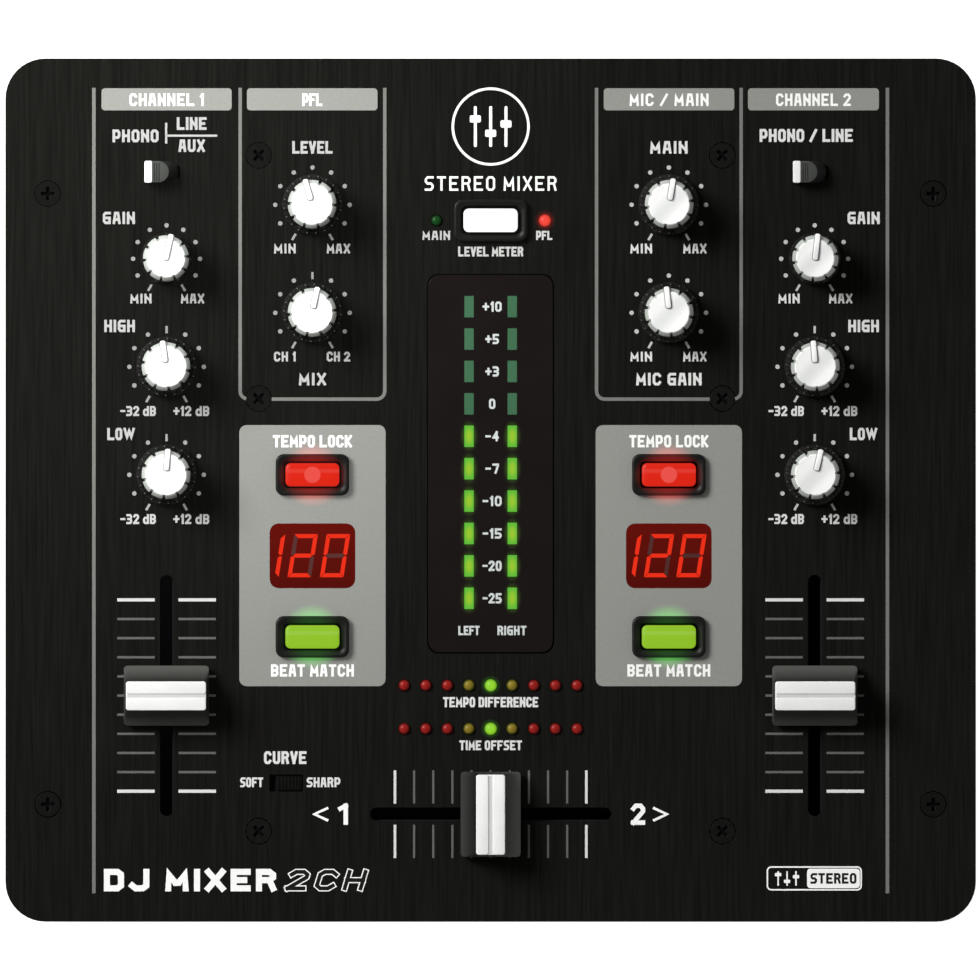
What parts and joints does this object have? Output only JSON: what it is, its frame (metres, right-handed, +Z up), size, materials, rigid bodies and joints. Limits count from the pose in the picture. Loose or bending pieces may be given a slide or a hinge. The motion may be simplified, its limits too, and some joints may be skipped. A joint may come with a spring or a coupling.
{
  "type": "dj mixer",
  "caption": "Two-channel table-top DJ mixer with channel faders, a crossfader, tone knobs, lit buttons, tempo displays and a level meter in a metal case.",
  "frame": {"origin": "on the surface the mixer stands on, under the middle of its bounding box", "axes": "+X to the user's right, +Y away from the user towards the rear sockets, +Z up"},
  "size_m": [0.2282, 0.203, 0.089],
  "materials": {
    "panel_black": "black brushed plate, satin lacquer",
    "case_black": "black powder coat, fine texture",
    "foot_rubber": "moulded, matte",
    "knob_white": "white cap on a black collar",
    "fader_black": "satin black with a white finger strip",
    "lever_steel": "plain",
    "fader_body_steel": "plated sheet",
    "switch_grey": "ribbed grey",
    "bezel_black": "satin black",
    "button_red": "translucent red, lit",
    "button_green": "translucent green, lit",
    "button_white": "translucent white, lit",
    "display_red": "red filter window with lit digits",
    "meter_smoke": "smoked window",
    "meter_lights": "diffused light blocks",
    "status_lights": "diffused round lights",
    "board_green": "lacquered circuit board",
    "socket_black": "moulded black",
    "socket_nickel": "satin nickel plate",
    "screw_black": "black oxide"
  },
  "bodies": {
    "root": {"top_panel": "panel_black", "case_tub": "case_black", "rear_panel": "case_black", "foot_front_left": "foot_rubber", "foot_front_right": "foot_rubber", "foot_rear_left": "foot_rubber", "foot_rear_right": "foot_rubber", "channel_fader_body_1": "fader_body_steel", "channel_fader_body_2": "fader_body_steel", "crossfader_body": "fader_body_steel", "lock_bezel_1": "bezel_black", "lock_bezel_2": "bezel_black", "beat_bezel_1": "bezel_black", "beat_bezel_2": "bezel_black", "meter_bezel": "bezel_black", "tempo_display_1": "display_red", "tempo_display_2": "display_red", "meter_window": "meter_smoke", "meter_light_bar": "meter_lights", "offset_light_strip": "status_lights", "main_source_light": "status_lights", "cue_source_light": "status_lights", "control_board": "board_green", "input_sockets_1": "socket_black", "input_sockets_2": "socket_black", "output_sockets": "socket_black", "ground_terminal": "socket_nickel", "data_socket": "socket_nickel", "power_inlet": "socket_black", "headphone_jack": "socket_nickel", "microphone_jack": "socket_nickel", "panel_screw_front_left": "screw_black", "panel_screw_front_right": "screw_black", "panel_screw_rear_left": "screw_black", "panel_screw_rear_right": "screw_black"},
    "gain_knob_1": {"gain_knob_1": "knob_white"},
    "high_knob_1": {"high_knob_1": "knob_white"},
    "low_knob_1": {"low_knob_1": "knob_white"},
    "gain_knob_2": {"gain_knob_2": "knob_white"},
    "high_knob_2": {"high_knob_2": "knob_white"},
    "low_knob_2": {"low_knob_2": "knob_white"},
    "phones_level_knob": {"phones_level_knob": "knob_white"},
    "phones_mix_knob": {"phones_mix_knob": "knob_white"},
    "main_level_knob": {"main_level_knob": "knob_white"},
    "mic_gain_knob": {"mic_gain_knob": "knob_white"},
    "channel_fader_1": {"channel_fader_cap_1": "fader_black", "channel_fader_lever_1": "lever_steel"},
    "channel_fader_2": {"channel_fader_cap_2": "fader_black", "channel_fader_lever_2": "lever_steel"},
    "crossfader": {"crossfader_cap": "fader_black", "crossfader_lever": "lever_steel"},
    "input_switch_1": {"input_switch_1": "switch_grey"},
    "input_switch_2": {"input_switch_2": "switch_grey"},
    "curve_switch": {"curve_switch": "bezel_black"},
    "lock_button_1": {"lock_button_1": "button_red"},
    "lock_button_2": {"lock_button_2": "button_red"},
    "beat_button_1": {"beat_button_1": "button_green"},
    "beat_button_2": {"beat_button_2": "button_green"},
    "meter_button": {"meter_button": "button_white"},
    "power_rocker": {"power_rocker": "socket_black"}
  },
  "joints": [
    {"name": "gain_1_turn", "type": "hinge", "parent": "root", "child": "gain_knob_1", "pos_m": [-0.0762, 0.0544, 0.076], "axis": [0, 0, -1], "range_deg": [-163, 137]},
    {"name": "high_1_turn", "type": "hinge", "parent": "root", "child": "high_knob_1", "pos_m": [-0.0762, 0.029, 0.076], "axis": [0, 0, -1], "range_deg": [-142.5, 157.5]},
    {"name": "low_1_turn", "type": "hinge", "parent": "root", "child": "low_knob_1", "pos_m": [-0.0762, 0.0036, 0.076], "axis": [0, 0, -1], "range_deg": [-155, 145]},
    {"name": "gain_2_turn", "type": "hinge", "parent": "root", "child": "gain_knob_2", "pos_m": [0.0762, 0.0544, 0.076], "axis": [0, 0, -1], "range_deg": [-156.3, 143.7]},
    {"name": "high_2_turn", "type": "hinge", "parent": "root", "child": "high_knob_2", "pos_m": [0.0762, 0.029, 0.076], "axis": [0, 0, -1], "range_deg": [-145.5, 154.5]},
    {"name": "low_2_turn", "type": "hinge", "parent": "root", "child": "low_knob_2", "pos_m": [0.0762, 0.0036, 0.076], "axis": [0, 0, -1], "range_deg": [-163, 137]},
    {"name": "phones_level_turn", "type": "hinge", "parent": "root", "child": "phones_level_knob", "pos_m": [-0.0419, 0.0671, 0.076], "axis": [0, 0, -1], "range_deg": [-134, 166]},
    {"name": "phones_mix_turn", "type": "hinge", "parent": "root", "child": "phones_mix_knob", "pos_m": [-0.0419, 0.0417, 0.076], "axis": [0, 0, -1], "range_deg": [-162.7, 137.3]},
    {"name": "main_level_turn", "type": "hinge", "parent": "root", "child": "main_level_knob", "pos_m": [0.0419, 0.0671, 0.076], "axis": [0, 0, -1], "range_deg": [-159.4, 140.6]},
    {"name": "mic_gain_turn", "type": "hinge", "parent": "root", "child": "mic_gain_knob", "pos_m": [0.0419, 0.0417, 0.076], "axis": [0, 0, -1], "range_deg": [-144, 156]},
    {"name": "channel_fader_1_slide", "type": "slide", "parent": "root", "child": "channel_fader_1", "axis": [0, 1, 0], "range_m": [-0.0225, 0.0225]},
    {"name": "channel_fader_2_slide", "type": "slide", "parent": "root", "child": "channel_fader_2", "axis": [0, 1, 0], "range_m": [-0.0225, 0.0225]},
    {"name": "crossfader_slide", "type": "slide", "parent": "root", "child": "crossfader", "axis": [1, 0, 0], "range_m": [-0.0225, 0.0225]},
    {"name": "input_switch_1_slide", "type": "slide", "parent": "root", "child": "input_switch_1", "axis": [1, 0, 0], "range_m": [0, 0.0028]},
    {"name": "input_switch_2_slide", "type": "slide", "parent": "root", "child": "input_switch_2", "axis": [1, 0, 0], "range_m": [0, 0.0028]},
    {"name": "curve_switch_slide", "type": "slide", "parent": "root", "child": "curve_switch", "axis": [1, 0, 0], "range_m": [-0.0014, 0]},
    {"name": "lock_button_1_press", "type": "slide", "parent": "root", "child": "lock_button_1", "axis": [0, 0, -1], "range_m": [0, 0.0015], "stiffness_N_per_m": 600, "springref_m": -0.0006},
    {"name": "lock_button_2_press", "type": "slide", "parent": "root", "child": "lock_button_2", "axis": [0, 0, -1], "range_m": [0, 0.0015], "stiffness_N_per_m": 600, "springref_m": -0.0006},
    {"name": "beat_button_1_press", "type": "slide", "parent": "root", "child": "beat_button_1", "axis": [0, 0, -1], "range_m": [0, 0.0015], "stiffness_N_per_m": 600, "springref_m": -0.0006},
    {"name": "beat_button_2_press", "type": "slide", "parent": "root", "child": "beat_button_2", "axis": [0, 0, -1], "range_m": [0, 0.0015], "stiffness_N_per_m": 600, "springref_m": -0.0006},
    {"name": "meter_button_press", "type": "slide", "parent": "root", "child": "meter_button", "axis": [0, 0, -1], "range_m": [0, 0.0015], "stiffness_N_per_m": 600, "springref_m": -0.0006},
    {"name": "power_rocker_tip", "type": "hinge", "parent": "root", "child": "power_rocker", "pos_m": [0.084, 0.091, 0.0452], "axis": [1, 0, 0], "range_deg": [-16, 0]}
  ]
}
